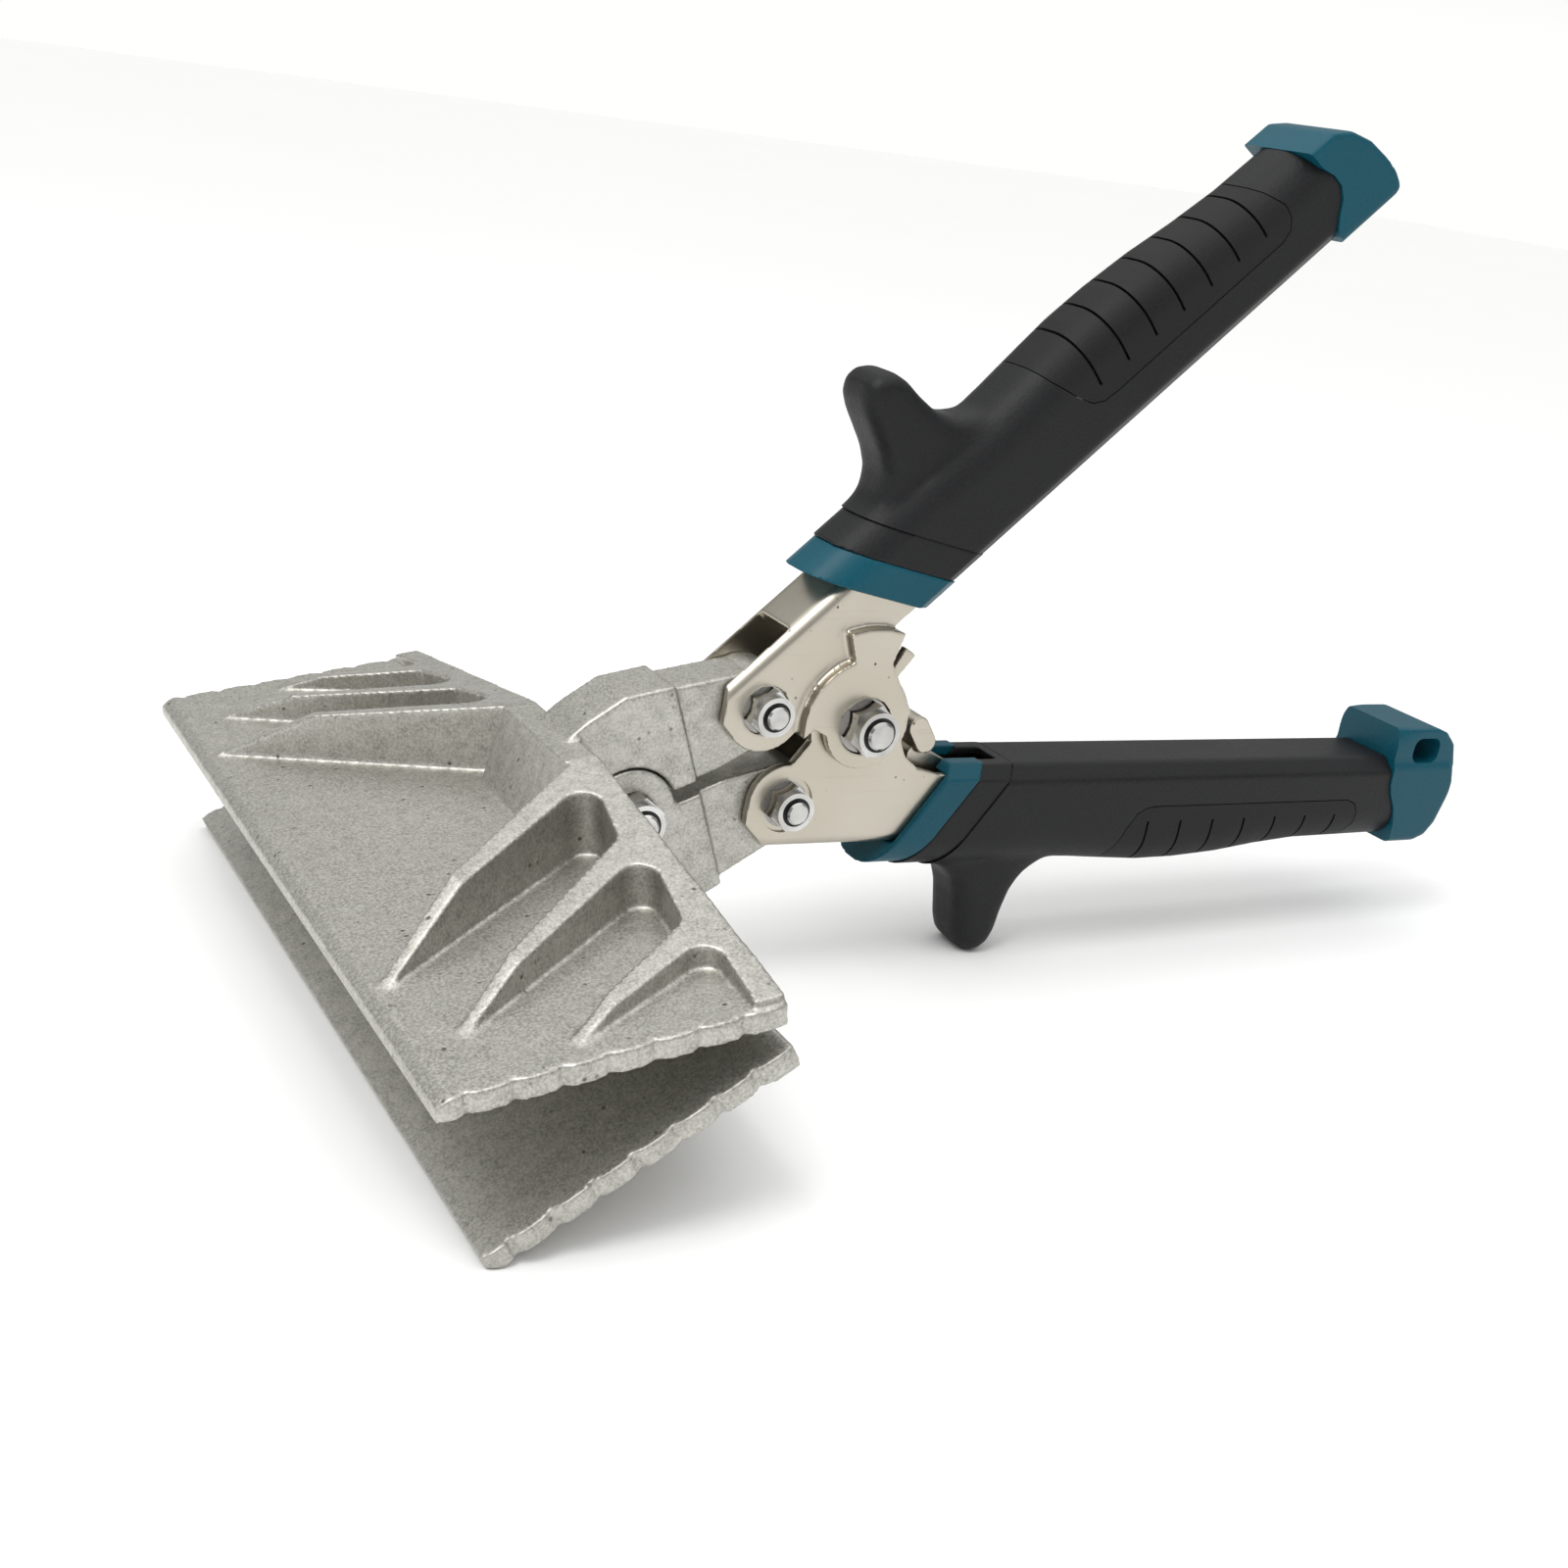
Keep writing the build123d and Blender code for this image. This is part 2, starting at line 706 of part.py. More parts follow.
def make_cap(side):
    """End cap; the lower one carries the hang lug."""
    start = grip_end(side)
    end = start + (upper_cap_long if side == UPPER else lower_cap_long)
    inner = grip_inner_v - cap_step
    outline = [
        (start, inner),
        (start, grip_end_v + cap_step),
        (end - 9.0, grip_end_v - 0.6),
        (end - 3.0, grip_end_v - 5.5),
        (end, grip_end_v - 12.0),
    ]
    if side == UPPER:
        outline += [(end, inner + 3.4), (end - 2.6, inner)]
    else:
        rise = grip_inner_v - lug_rise
        outline += [
            (end + 0.5, inner + 2.4),
            (end - 1.5, rise + 3.0),
            (end - 5.0, rise),
            (start + 3.5, rise),
            (start + 0.6, rise + 2.6),
        ]
    with BuildPart() as cap:
        slab(handle_side(side), outline, grip_half + cap_step)
        edges = cap.edges().filter_by(Axis.Y, reverse=True)
        far_from_grip = [e for e in edges if to_handle(e.center().X, side * e.center().Z)[0] > start + 0.01]
        fillet(far_from_grip, 2.4)
        if side == LOWER:
            with BuildSketch(handle_side(side)) as hole:
                with Locations((end - hang_hole_from_end, rise + hang_hole_wall + hang_hole_high / 2)):
                    RectangleRounded(hang_hole_long, hang_hole_high, hang_hole_corner)
            extrude(hole.sketch, amount=far / 2, both=True, mode=Mode.SUBTRACT)
    return cap


upper_ferrule = make_ferrule(UPPER)
lower_ferrule = make_ferrule(LOWER)
upper_collar = make_collar(UPPER)
lower_collar = make_collar(LOWER)
upper_grip = make_grip(UPPER)
lower_grip = make_grip(LOWER)
upper_grip_pad = make_pad(UPPER)
lower_grip_pad = make_pad(LOWER)
upper_end_cap = make_cap(UPPER)
lower_end_cap = make_cap(LOWER)
upper_jaw = make_jaw(UPPER)
lower_jaw = make_jaw(LOWER)


# ---------------------------------------------------------------- pins, bolts and nuts
def bolt_axis(x, z, y):
    """Plane across a bolt at y, looking along the bolt to the nut side."""
    return Plane(origin=(x, y, z), x_dir=(1, 0, 0), z_dir=(0, -1, 0))


def make_bush(x, z, radius, half, thread):
    with BuildPart() as bush:
        with BuildSketch(bolt_axis(x, z, 0)):
            Circle(radius)
            Circle(thread / 2, mode=Mode.SUBTRACT)
        extrude(amount=half, both=True)
    return bush


def make_bolt(x, z, half, thread, nut, head_radius):
    """Shank, low round head on +Y, and a chamfered end standing out of the nut on -Y."""
    length = 2 * half + nut[1] + nut_land
    with BuildPart() as bolt:
        with BuildSketch(bolt_axis(x, z, half)):
            Circle(thread / 2)
        extrude(amount=length)
        chamfer(bolt.edges().sort_by(Axis.Y)[0], thread * 0.08)
        with BuildSketch(bolt_axis(x, z, half + head_height)):
            Circle(head_radius)
        extrude(amount=head_height)
        fillet(bolt.edges().sort_by(Axis.Y)[-1], head_height * 0.55)
    return bolt


def make_nut(x, z, half, thread, nut):
    """Hexagon with a round collar, recessed for the nylon ring."""
    across, height = nut
    with BuildPart() as lock_nut:
        with BuildSketch(bolt_axis(x, z, -half)):
            RegularPolygon(across / 2, 6, major_radius=False)
        extrude(amount=height * 0.68)
        with BuildSketch(bolt_axis(x, z, -half)):
            Circle(across / 2 * 0.97)
        extrude(amount=height)
        with BuildSketch(bolt_axis(x, z, -half)):
            Circle(thread / 2)
        extrude(amount=height, mode=Mode.SUBTRACT)
        with BuildSketch(bolt_axis(x, z, -half - height + insert_depth)):
            Circle(thread / 2 + insert_wall)
        extrude(amount=insert_depth, mode=Mode.SUBTRACT)
    return lock_nut


def make_insert(x, z, half, thread, nut):
    with BuildPart() as insert:
        with BuildSketch(bolt_axis(x, z, -half - nut[1] + insert_depth)):
            Circle(thread / 2 + insert_wall)
            Circle(thread / 2, mode=Mode.SUBTRACT)
        extrude(amount=insert_depth * 0.8)
    return insert


pin_stack = cheek_out - bush_recess
pivot_stack = cover_out - bush_recess

upper_pin_bush = make_bush(arm_foot, pin_height, pin_bush_radius, pin_stack, pin_thread)
upper_pin_bolt = make_bolt(arm_foot, pin_height, pin_stack, pin_thread, pin_nut, pin_bush_radius - 0.2)
upper_pin_nut = make_nut(arm_foot, pin_height, pin_stack, pin_thread, pin_nut)
upper_pin_insert = make_insert(arm_foot, pin_height, pin_stack, pin_thread, pin_nut)

lower_pin_bush = make_bush(arm_foot, -pin_height, pin_bush_radius, pin_stack, pin_thread)
lower_pin_bolt = make_bolt(arm_foot, -pin_height, pin_stack, pin_thread, pin_nut, pin_bush_radius - 0.2)
lower_pin_nut = make_nut(arm_foot, -pin_height, pin_stack, pin_thread, pin_nut)
lower_pin_insert = make_insert(arm_foot, -pin_height, pin_stack, pin_thread, pin_nut)

handle_pivot_bush = make_bush(pivot_distance, 0, pivot_bush_radius, pivot_stack, pivot_thread)
handle_pivot_bolt = make_bolt(pivot_distance, 0, pivot_stack, pivot_thread, pivot_nut, pivot_bush_radius - 0.2)
handle_pivot_nut = make_nut(pivot_distance, 0, pivot_stack, pivot_thread, pivot_nut)
handle_pivot_insert = make_insert(pivot_distance, 0, pivot_stack, pivot_thread, pivot_nut)

jaw_pivot_bush = make_bush(0, 0, jaw_bush_radius, neck_half, pivot_thread)
jaw_pivot_bolt = make_bolt(0, 0, neck_half, pivot_thread, pivot_nut, pivot_bush_radius - 0.2)
jaw_pivot_nut = make_nut(0, 0, neck_half, pivot_thread, pivot_nut)
jaw_pivot_insert = make_insert(0, 0, neck_half, pivot_thread, pivot_nut)


# ---------------------------------------------------------------- return spring
coil_in = pivot_bush_radius + spring_gap
coil_out = coil_in + spring_wire

leg_foot = coil_in + spring_wire / 2
leg_top = web_v - sheet - spring_wire / 2
leg_run = leg_slope * (leg_top - leg_foot)


def spring_leg(start, back):
    """Outline of a leg, from the coil to the inside of the web."""
    return [
        start,
        (leg_run, leg_top),
        (leg_run + leg_foot_long, leg_top),
        (leg_run + leg_foot_long, leg_top - spring_wire),
        (leg_run, leg_top - spring_wire),
        back,
    ]


with BuildPart() as return_spring:
    with BuildSketch(handle_side(LOWER)):
        Circle(coil_out)
        Circle(coil_in, mode=Mode.SUBTRACT)
    extrude(amount=spring_half, both=True)
    side_view = handle_side(LOWER, spring_half - spring_wire / 2)
    slab(side_view, spring_leg((0, leg_foot), (2, leg_foot - 1)), spring_wire / 2)

with BuildPart() as return_spring_leg:
    leg_start = coil_out + 0.2
    side_view = handle_side(UPPER, -spring_half + spring_wire / 2)
    slab(side_view, spring_leg((1.5, leg_start), (4.5, leg_start)), spring_wire / 2)


# ---------------------------------------------------------------- latch
with BuildPart() as latch_pin:
    with BuildSketch(handle_side(LOWER)):
        with Locations((latch_pin_u, latch_pin_v)):
            Circle(latch_pin_radius)
    extrude(amount=cheek_out, both=True)

with BuildPart() as latch_lever:
    slab(
        handle_side(LOWER),
        [
            (latch_pin_u - 1.4, latch_pin_v + 2.0),
            (latch_pin_u + 1.4, latch_pin_v - 2.0),
            (latch_bar_u + 2.4, latch_bar_v + 3.0),
            (latch_bar_u, latch_bar_v),
            (latch_bar_u - 0.6, latch_bar_v + 6.0),
        ],
        latch_half,
    )
    with BuildSketch(handle_side(LOWER)):
        with Locations((latch_pin_u, latch_pin_v)):
            Circle(latch_pin_radius + latch_eye_wall)
        with Locations((latch_bar_u + 0.6, latch_bar_v + 4.4)):
            Circle(2.0)
    extrude(amount=latch_half, both=True)
    with BuildSketch(handle_side(LOWER)):
        with Locations(Location((latch_bar_u, latch_bar_v), latch_bar_turn)):
            SlotOverall(latch_bar_long, latch_bar_thick)
    extrude(amount=latch_bar_half, both=True)
    with BuildSketch(handle_side(LOWER)):
        with Locations((latch_pin_u, latch_pin_v)):
            Circle(latch_pin_radius + running)
    extrude(amount=far / 2, both=True, mode=Mode.SUBTRACT)


# ---------------------------------------------------------------- stance and export
pieces = {
    "upper_jaw": upper_jaw,
    "lower_jaw": lower_jaw,
    "upper_channel": upper_channel,
    "lower_channel": lower_channel,
    "upper_ferrule": upper_ferrule,
    "lower_ferrule": lower_ferrule,
    "upper_collar": upper_collar,
    "lower_collar": lower_collar,
    "upper_grip": upper_grip,
    "lower_grip": lower_grip,
    "upper_grip_pad": upper_grip_pad,
    "lower_grip_pad": lower_grip_pad,
    "upper_end_cap": upper_end_cap,
    "lower_end_cap": lower_end_cap,
    "upper_pin_bush": upper_pin_bush,
    "upper_pin_bolt": upper_pin_bolt,
    "upper_pin_nut": upper_pin_nut,
    "upper_pin_insert": upper_pin_insert,
    "lower_pin_bush": lower_pin_bush,
    "lower_pin_bolt": lower_pin_bolt,
    "lower_pin_nut": lower_pin_nut,
    "lower_pin_insert": lower_pin_insert,
    "handle_pivot_bush": handle_pivot_bush,
    "handle_pivot_bolt": handle_pivot_bolt,
    "handle_pivot_nut": handle_pivot_nut,
    "handle_pivot_insert": handle_pivot_insert,
    "jaw_pivot_bush": jaw_pivot_bush,
    "jaw_pivot_bolt": jaw_pivot_bolt,
    "jaw_pivot_nut": jaw_pivot_nut,
    "jaw_pivot_insert": jaw_pivot_insert,
    "return_spring": return_spring,
    "return_spring_leg": return_spring_leg,
    "latch_pin": latch_pin,
    "latch_lever": latch_lever,
}

# the tool rests on the lower jaw's front edge and on the round tip of the lower guard
front_corner = jaw_side(LOWER).from_local_coords((-jaw_reach, plate_thick - front_bevel_drop, 0))
guard_tip = handle_side(LOWER).from_local_coords((guard_tip_u, guard_tip_v, 0))
support = guard_tip - front_corner
rest_angle = degrees(atan2(support.Z, support.X) - asin(guard_tip_radius / support.length))
stand = Location((0, 0, 0), (0, rest_angle, 0))

for piece in pieces.values():
    piece.part.move(stand)
boxes = [piece.part.bounding_box() for piece in pieces.values()]
middle_x = (min(box.min.X for box in boxes) + max(box.max.X for box in boxes)) / 2
centre = Location((-middle_x, 0, -min(box.min.Z for box in boxes)))

os.makedirs("parts", exist_ok=True)
for name, piece in pieces.items():
    piece.part.move(centre)
    piece.part.label = name
    export_step(piece.part, f"parts/{name}.step")
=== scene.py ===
from math import cos, pi, radians, sin

import bpy
from mathutils import Matrix, Vector


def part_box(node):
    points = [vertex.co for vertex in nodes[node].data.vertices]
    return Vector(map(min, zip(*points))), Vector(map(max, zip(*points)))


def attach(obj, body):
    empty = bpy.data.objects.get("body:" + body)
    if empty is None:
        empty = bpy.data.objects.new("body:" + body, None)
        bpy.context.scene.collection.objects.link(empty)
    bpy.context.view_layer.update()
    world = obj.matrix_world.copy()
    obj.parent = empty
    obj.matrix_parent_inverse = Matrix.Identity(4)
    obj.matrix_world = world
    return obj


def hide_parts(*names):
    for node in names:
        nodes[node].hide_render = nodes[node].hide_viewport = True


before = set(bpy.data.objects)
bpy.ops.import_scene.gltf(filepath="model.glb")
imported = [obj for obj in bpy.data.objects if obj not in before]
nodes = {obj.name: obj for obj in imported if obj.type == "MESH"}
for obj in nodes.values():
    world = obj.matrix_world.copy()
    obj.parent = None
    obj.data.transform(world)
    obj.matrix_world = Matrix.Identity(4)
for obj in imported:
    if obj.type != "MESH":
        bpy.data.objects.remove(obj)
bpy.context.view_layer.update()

MM = 0.001


# ---------------------------------------------------------------- working helpers
def clear():
    if bpy.context.object and bpy.context.object.mode != "OBJECT":
        bpy.ops.object.mode_set(mode="OBJECT")
    bpy.ops.object.select_all(action="DESELECT")


def only(piece):
    clear()
    piece.select_set(True)
    bpy.context.view_layer.objects.active = piece


def centre_of(node):
    low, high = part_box(node)
    return (Vector(low) + Vector(high)) / 2


def own_copy(node, name):
    """A merged copy of a node, free to be worked on."""
    piece = nodes[node].copy()
    piece.data = nodes[node].data.copy()
    for key in list(piece.keys()):
        del piece[key]
    piece.parent = None
    piece.name = name
    piece.data.name = name
    bpy.context.scene.collection.objects.link(piece)
    piece.data.materials.clear()
    only(piece)
    bpy.ops.object.mode_set(mode="EDIT")
    bpy.ops.mesh.select_all(action="SELECT")
    bpy.ops.mesh.remove_doubles(threshold=0.002 * MM)
    bpy.ops.mesh.customdata_custom_splitnormals_clear()
    bpy.ops.mesh.dissolve_limited(angle_limit=radians(0.3))
    bpy.ops.object.mode_set(mode="OBJECT")
    return piece


def apply_last(piece):
    only(piece)
    bpy.ops.object.modifier_apply(modifier=piece.modifiers[-1].name)


def skin(piece, voxel, rounds, keep=1.0):
    """Remakes the surface evenly and softens every edge, as a casting or a moulding has them."""
    only(piece)
    bpy.ops.object.modifier_add(type="REMESH")
    piece.modifiers[-1].mode = "VOXEL"
    piece.modifiers[-1].voxel_size = voxel * MM
    apply_last(piece)
    bpy.ops.object.modifier_add(type="SMOOTH")
    piece.modifiers[-1].factor = 0.5
    piece.modifiers[-1].iterations = rounds
    apply_last(piece)
    if keep < 1.0:
        bpy.ops.object.modifier_add(type="DECIMATE")
        piece.modifiers[-1].ratio = keep
        apply_last(piece)
    bpy.ops.object.shade_smooth()
    return piece


def finish(piece, material, slot, body, *stands_for):
    piece.data.materials.clear()
    piece.data.materials.append(material)
    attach(piece, body)
    if stands_for:
        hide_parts(*stands_for)
    return piece


# ---------------------------------------------------------------- shaping helpers
def drawn_solid(name, points, half):
    """A side outline drawn point by point, filled, and thickened on both sides of the middle."""
    clear()
    bpy.ops.mesh.primitive_plane_add(size=1 * MM, location=(0, 0, 0))
    piece = bpy.context.object
    piece.name = name
    bpy.ops.object.mode_set(mode="EDIT")
    bpy.ops.mesh.select_mode(type="VERT")
    bpy.ops.mesh.select_all(action="SELECT")
    bpy.ops.mesh.merge(type="CENTER")
    here = Vector((0, 0, 0))
    first = Vector((points[0][0], -half, points[0][1])) * MM
    bpy.ops.transform.translate(value=first - here)
    here = first
    for u, v in points[1:]:
        place = Vector((u, -half, v)) * MM
        bpy.ops.mesh.extrude_region_move(TRANSFORM_OT_translate={"value": place - here})
        here = place
    bpy.ops.mesh.select_all(action="SELECT")
    bpy.ops.mesh.edge_face_add()
    bpy.ops.mesh.extrude_region_move(TRANSFORM_OT_translate={"value": (0, 2 * half * MM, 0)})
    bpy.ops.mesh.select_all(action="SELECT")
    bpy.ops.mesh.normals_make_consistent(inside=False)
    bpy.ops.object.mode_set(mode="OBJECT")
    return piece


def on_side(a, b, half):
    """Whether an edge lies in one of the two side faces of a drawn solid."""
    return abs(abs(a.y) - half) < 0.01 and abs(a.y - b.y) < 0.01


def bevel_where(piece, wanted, width, segments):
    """Bevels the edges whose two ends both pass the test, given in millimetres."""
    only(piece)
    bpy.ops.object.mode_set(mode="EDIT")
    bpy.ops.mesh.select_mode(type="EDGE")
    bpy.ops.mesh.select_all(action="DESELECT")
    bpy.ops.object.mode_set(mode="OBJECT")
    points = piece.data.vertices
    for edge in piece.data.edges:
        a, b = (points[i].co / MM for i in edge.vertices)
        edge.select = bool(wanted(a, b))
    bpy.ops.object.mode_set(mode="EDIT")
    bpy.ops.mesh.bevel(offset=width * MM, segments=segments, affect="EDGES", clamp_overlap=True)
    bpy.ops.object.mode_set(mode="OBJECT")


def combine(piece, tool, how, keep_tool=False):
    only(piece)
    bpy.ops.object.modifier_add(type="BOOLEAN")
    cut = piece.modifiers[-1]
    cut.operation = how
    cut.solver = "MANIFOLD"
    cut.object = tool
    apply_last(piece)
    if not keep_tool:
        bpy.data.objects.remove(tool, do_unlink=True)
    return piece


def twin(piece, name):
    made = piece.copy()
    made.data = piece.data.copy()
    made.name = name
    bpy.context.scene.collection.objects.link(made)
    return made


def swell(piece, amount):
    """Moves the whole surface out, or in if the amount is negative."""
    only(piece)
    bpy.ops.object.mode_set(mode="EDIT")
    bpy.ops.mesh.select_all(action="SELECT")
    bpy.ops.transform.shrink_fatten(value=amount * MM)
    bpy.ops.object.mode_set(mode="OBJECT")
    return piece


def join(first, *others):
    only(first)
    for other in others:
        other.select_set(True)
    bpy.ops.object.join()
    return first


def soften_where(piece, weight_of, rounds):
    """Smooths only where the weight, worked out from a point in millimetres, is above zero."""
    group = piece.vertex_groups.new(name="soft")
    for vertex in piece.data.vertices:
        weight = weight_of(vertex.co / MM)
        if weight > 0:
            group.add([vertex.index], min(weight, 1.0), "REPLACE")
    only(piece)
    bpy.ops.object.modifier_add(type="SMOOTH")
    piece.modifiers[-1].vertex_group = "soft"
    piece.modifiers[-1].factor = 0.5
    piece.modifiers[-1].iterations = rounds
    apply_last(piece)
    piece.vertex_groups.clear()


def put(piece, place):
    """Moves a piece modelled in its handle's axes to where the handle is."""
    piece.data.transform(place)
    only(piece)
    bpy.ops.object.mode_set(mode="EDIT")
    bpy.ops.mesh.select_all(action="SELECT")
    bpy.ops.mesh.remove_doubles(threshold=0.002 * MM)
    bpy.ops.mesh.normals_make_consistent(inside=False)
    bpy.ops.object.mode_set(mode="OBJECT")
    bpy.ops.object.shade_smooth_by_angle(angle=radians(38))
    return piece


# ---------------------------------------------------------------- materials
class Surface:
    """A material under construction, with its shader and a few ways to add detail."""

    def __init__(self, name, **sockets):
        self.material = bpy.data.materials.new(name)
        self.material.use_nodes = True
        self.tree = self.material.node_tree
        self.shader = self.tree.nodes["Principled BSDF"]
        for socket, value in sockets.items():
            self.shader.inputs[socket.replace("_", " ")].default_value = value
        self.place = self.tree.nodes.new("ShaderNodeTexCoord").outputs["Object"]

    def node(self, kind, **inputs):
        made = self.tree.nodes.new("ShaderNode" + kind)
        for socket, value in inputs.items():
            target = made.inputs[socket.replace("_", " ")]
            if isinstance(value, bpy.types.NodeSocket):
                self.tree.links.new(value, target)
            else:
                target.default_value = value
        return made

    def noise(self, scale, detail=2.0, rough=0.5, stretch=None):
        vector = self.place
        if stretch:
            mapping = self.node("Mapping", Vector=self.place)
            mapping.inputs["Rotation"].default_value = stretch[0]
            mapping.inputs["Scale"].default_value = stretch[1]
            vector = mapping.outputs["Vector"]
        made = self.node("TexNoise", Vector=vector, Scale=scale, Detail=detail, Roughness=rough)
        return made.outputs["Fac"]

    def cells(self, scale, feature="F1"):
        made = self.node("TexVoronoi", Vector=self.place, Scale=scale)
        made.feature = feature
        return made.outputs["Distance"]

    def ramp(self, value, low, high, start=0.0, end=1.0):
        made = self.node("MapRange", Value=value)
        made.inputs["From Min"].default_value = low
        made.inputs["From Max"].default_value = high
        made.inputs["To Min"].default_value = start
        made.inputs["To Max"].default_value = end
        return made.outputs["Result"]

    def mix(self, share, first, second):
        made = self.tree.nodes.new("ShaderNodeMix")
        made.data_type = "RGBA"
        for socket, value in ((made.inputs[0], share), (made.inputs[6], first), (made.inputs[7], second)):
            if isinstance(value, bpy.types.NodeSocket):
                self.tree.links.new(value, socket)
            else:
                socket.default_value = value
        return made.outputs[2]

    def add(self, first, second, how="ADD"):
        made = self.tree.nodes.new("ShaderNodeMath")
        made.operation = how
        for socket, value in zip(made.inputs, (first, second)):
            if isinstance(value, bpy.types.NodeSocket):
                self.tree.links.new(value, socket)
            else:
                socket.default_value = value
        return made.outputs[0]

    def bump(self, height, strength, depth, below=None):
        made = self.node("Bump", Height=height, Strength=strength, Distance=depth)
        if below:
            self.tree.links.new(below, made.inputs["Normal"])
        return made.outputs["Normal"]

    def give(self, socket, value):
        self.tree.links.new(value, self.shader.inputs[socket])


def cast_aluminium():
    """Bead-blasted casting: warm grey, evenly grained, with scattered dark pores."""
    s = Surface("bead_blasted_aluminium", Metallic=1.0)
    grain = s.noise(2300, 3, 0.6)
    mottle = s.noise(420, 3, 0.6)
    cloud = s.noise(26, 3)
    pores = s.ramp(s.cells(520), 0.10, 0.24)
    rare = s.ramp(s.noise(230, 2), 0.56, 0.66)
    pit = s.add(s.add(1.0, pores, "SUBTRACT"), rare, "MULTIPLY")
    tone = s.mix(s.ramp(cloud, 0.3, 0.7), (0.40, 0.393, 0.355, 1), (0.47, 0.462, 0.422, 1))
    tone = s.mix(s.ramp(mottle, 0.35, 0.65, 0, 0.55), tone, (0.22, 0.215, 0.19, 1))
    tone = s.mix(s.ramp(grain, 0.38, 0.62, 0, 0.5), tone, (0.72, 0.71, 0.67, 1))
    s.give("Base Color", s.mix(pit, tone, (0.13, 0.125, 0.11, 1)))
    s.give("Roughness", s.ramp(s.add(grain, mottle), 0.7, 1.3, 0.40, 0.56))
    fine = s.bump(grain, 0.55, 0.00006)
    coarse = s.bump(mottle, 0.5, 0.00010, fine)
    s.give("Normal", s.bump(pit, 0.6, -0.00015, coarse))
    return s.material


def satin_nickel():
    """Nickel-plated sheet: warm and shiny, with pinholes and faint scuffs."""
    s = Surface("satin_nickel_plate", Metallic=1.0)
    scuffs = s.noise(60, 4, 0.65, ((0, radians(38), 0), (0.5, 6.0, 14.0)))
    scuff = s.ramp(scuffs, 0.60, 0.68)
    cloud = s.noise(45, 2)
    holes = s.ramp(s.cells(430), 0.05, 0.13, 1, 0)
    rare = s.ramp(s.noise(150, 2), 0.50, 0.60)
    pit = s.add(holes, rare, "MULTIPLY")
    tone = s.mix(s.ramp(cloud, 0.3, 0.7), (0.45, 0.415, 0.345, 1), (0.53, 0.495, 0.425, 1))
    tone = s.mix(s.ramp(scuff, 0, 1, 0, 0.15), tone, (0.30, 0.27, 0.22, 1))
    s.give("Base Color", s.mix(pit, tone, (0.05, 0.04, 0.03, 1)))
    s.give("Roughness", s.add(s.ramp(cloud, 0.3, 0.7, 0.26, 0.34), s.ramp(scuff, 0, 1, 0, 0.06)))
    fine = s.bump(s.noise(900, 2), 0.22, 0.00004)
    s.give("Normal", s.bump(pit, 0.5, -0.0001, fine))
    return s.material


def bright_zinc():
    """Zinc plate on the bolts and nuts, uneven in tone."""
    s = Surface("bright_zinc_plate", Metallic=1.0)
    cloud = s.noise(190, 3)
    s.give("Base Color", s.mix(s.ramp(cloud, 0.35, 0.65), (0.42, 0.415, 0.40, 1), (0.62, 0.62, 0.61, 1)))
    s.give("Roughness", s.ramp(s.noise(520, 3), 0.3, 0.7, 0.12, 0.20))
    s.give("Normal", s.bump(s.noise(1300, 2), 0.15, 0.00003))
    return s.material


def hardened_steel():
    """Bare steel of the bushes, springs and pins, with turning marks."""
    s = Surface("hardened_steel", Metallic=1.0)
    turned = s.noise(260, 3, 0.6, ((0, 0, 0), (2.0, 14.0, 2.0)))
    s.give("Base Color", s.mix(s.ramp(turned, 0.3, 0.7), (0.30, 0.29, 0.28, 1), (0.46, 0.45, 0.43, 1)))
    s.give("Roughness", s.ramp(turned, 0.3, 0.7, 0.24, 0.40))
    s.give("Normal", s.bump(turned, 0.2, 0.00003))
    return s.material


def moulded(name, dark, light, rough, grain_scale, grain_depth):
    """Moulded plastic with a spark-eroded texture."""
    s = Surface(name, Specular_IOR_Level=0.24)
    cloud = s.noise(38, 3)
    grain = s.noise(grain_scale, 3, 0.62)
    cells = s.cells(grain_scale * 0.8, "SMOOTH_F1")
    share = s.add(s.ramp(cloud, 0.3, 0.7, 0, 0.5), s.ramp(grain, 0.35, 0.65, 0, 0.5))
    s.give("Base Color", s.mix(share, dark, light))
    s.give("Roughness", s.ramp(s.add(grain, cloud), 0.7, 1.3, rough[0], rough[1]))
    s.give("Normal", s.bump(s.add(grain, cells), 0.6, grain_depth))
    return s.material


aluminium = cast_aluminium()
nickel = satin_nickel()
zinc = bright_zinc()
steel = hardened_steel()
charcoal = moulded(
    "charcoal_moulding", (0.006, 0.0062, 0.0070, 1), (0.013, 0.0135, 0.0150, 1), (0.42, 0.56), 2100, 0.00007
)
rubber = moulded(
    "charcoal_soft_pad", (0.006, 0.0060, 0.0066, 1), (0.013, 0.0132, 0.0145, 1), (0.50, 0.64), 2600, 0.00006
)
teal = moulded("teal_moulding", (0.0008, 0.058, 0.088, 1), (0.0014, 0.080, 0.118, 1), (0.36, 0.48), 1700, 0.00004)
nylon = moulded("black_nylon", (0.010, 0.010, 0.010, 1), (0.022, 0.022, 0.022, 1), (0.30, 0.42), 900, 0.00003)


# ---------------------------------------------------------------- handle places
def handle_place(slope, side):
    """Matrix from a handle's own axes (along it, across it, outward) to the tool's place."""
    along = Vector((cos(radians(slope)), 0, sin(radians(slope))))
    outward = Vector((-along.z, 0, along.x)) * side
    across = outward.cross(along)
    place = Matrix((along, across, outward)).transposed().to_4x4()
    place.translation = centre_of("handle_pivot_bush")
    return place


upper_slope, lower_slope = 42.563, -1.437      # degrees above level, standing open
upper_place = handle_place(upper_slope, 1)
lower_place = handle_place(lower_slope, -1)


